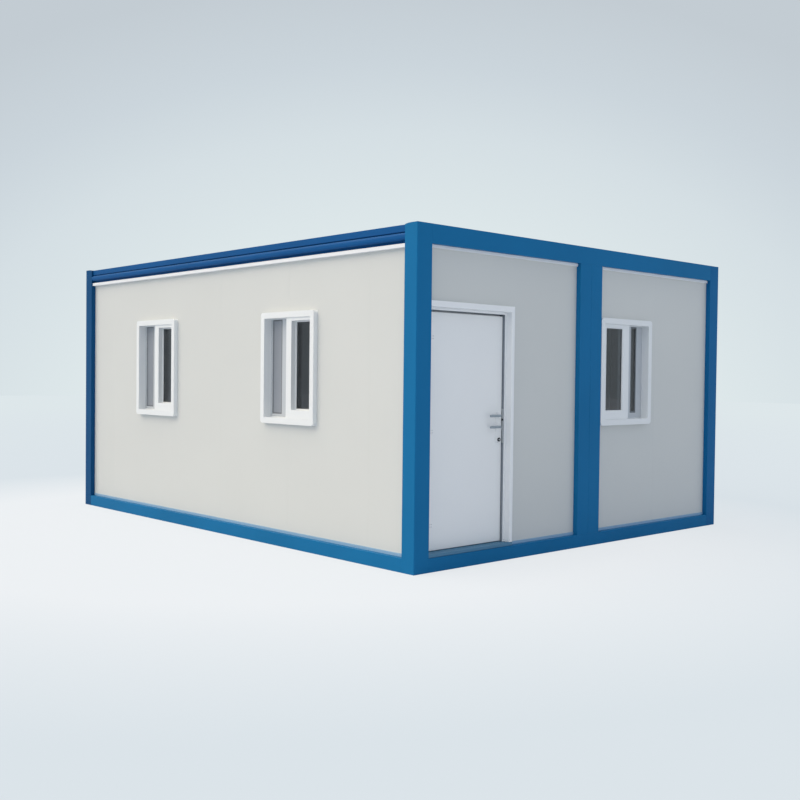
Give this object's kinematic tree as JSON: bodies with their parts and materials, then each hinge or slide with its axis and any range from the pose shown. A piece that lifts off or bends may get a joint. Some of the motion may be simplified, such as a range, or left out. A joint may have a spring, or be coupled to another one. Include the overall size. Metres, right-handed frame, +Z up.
{
  "type": "steel prefab shed",
  "caption": "Two-module steel-framed panel cabin with blue posts and beams, light panel walls, white sliding windows and a hinged entrance door.",
  "frame": {"origin": "centre of the footprint, on the ground under the bottom beams", "axes": "+X across the door end, +Y from the door end to the rear along the length, +Z up"},
  "size_m": [4.6, 5.85, 2.85],
  "materials": {
    "frame_paint": "semi-gloss blue enamel",
    "galvanised_steel": "galvanised",
    "floor_board": "matt sealed board",
    "wall_panel": "satin coated sheet on foam core",
    "white_trim": "satin white",
    "base_strip": "satin light blue-grey",
    "white_plastic": "smooth white",
    "window_glass": "clear",
    "rubber_seal": "matt black",
    "threshold_metal": "anodised",
    "door_paint": "satin light grey",
    "door_steel": "satin"
  },
  "bodies": {
    "root": {"front_left_post": "frame_paint", "front_right_post": "frame_paint", "rear_left_post": "frame_paint", "rear_right_post": "frame_paint", "front_middle_posts": "frame_paint", "rear_middle_posts": "frame_paint", "front_bottom_beam": "frame_paint", "rear_bottom_beam": "frame_paint", "left_bottom_beam": "frame_paint", "right_bottom_beam": "frame_paint", "middle_bottom_beams": "frame_paint", "front_top_beam": "frame_paint", "rear_top_beam": "frame_paint", "left_top_beam": "frame_paint", "right_top_beam": "frame_paint", "middle_top_beams": "frame_paint", "floor_joists": "galvanised_steel", "underfloor_sheets": "galvanised_steel", "roof_sheets": "galvanised_steel", "roof_joint_cap": "galvanised_steel", "floor_boards": "floor_board", "left_wall": "wall_panel", "right_wall": "wall_panel", "rear_left_wall": "wall_panel", "rear_right_wall": "wall_panel", "front_wall_beside_door": "wall_panel", "front_wall_over_door": "wall_panel", "front_right_wall": "wall_panel", "ceiling_panels": "white_trim", "side_top_trims": "white_trim", "end_top_trims": "white_trim", "side_base_strips": "base_strip", "end_base_strips": "base_strip", "left_window_frames": "white_plastic", "right_window_frames": "white_plastic", "front_window_frame": "white_plastic", "left_window_sashes": "white_plastic", "right_window_sashes": "white_plastic", "front_window_sashes": "white_plastic", "door_casing": "white_plastic", "door_frame": "white_plastic", "left_window_glass": "window_glass", "right_window_glass": "window_glass", "front_window_glass": "window_glass", "door_gasket": "rubber_seal", "door_threshold": "threshold_metal"},
    "door": {"door_leaf": "door_paint", "door_hinge_pins": "door_steel", "door_lock_plates": "door_steel"},
    "upper_lever_body": {"upper_lever": "door_steel"},
    "lower_lever_body": {"lower_lever": "door_steel"}
  },
  "joints": [
    {"name": "door_hinge", "type": "hinge", "parent": "root", "child": "door", "pos_m": [-2.058, -2.837, 1.15], "axis": [0, 0, -1], "range_deg": [0, 100]},
    {"name": "upper_lever_turn", "type": "hinge", "parent": "door", "child": "upper_lever_body", "pos_m": [-1.222, -2.85, 1.269], "axis": [0, -1, 0], "range_deg": [0, 30], "stiffness_Nm_per_rad": 0.5, "springref_deg": -17.19},
    {"name": "lower_lever_turn", "type": "hinge", "parent": "door", "child": "lower_lever_body", "pos_m": [-1.222, -2.85, 1.171], "axis": [0, -1, 0], "range_deg": [0, 30], "stiffness_Nm_per_rad": 0.5, "springref_deg": -17.19}
  ]
}
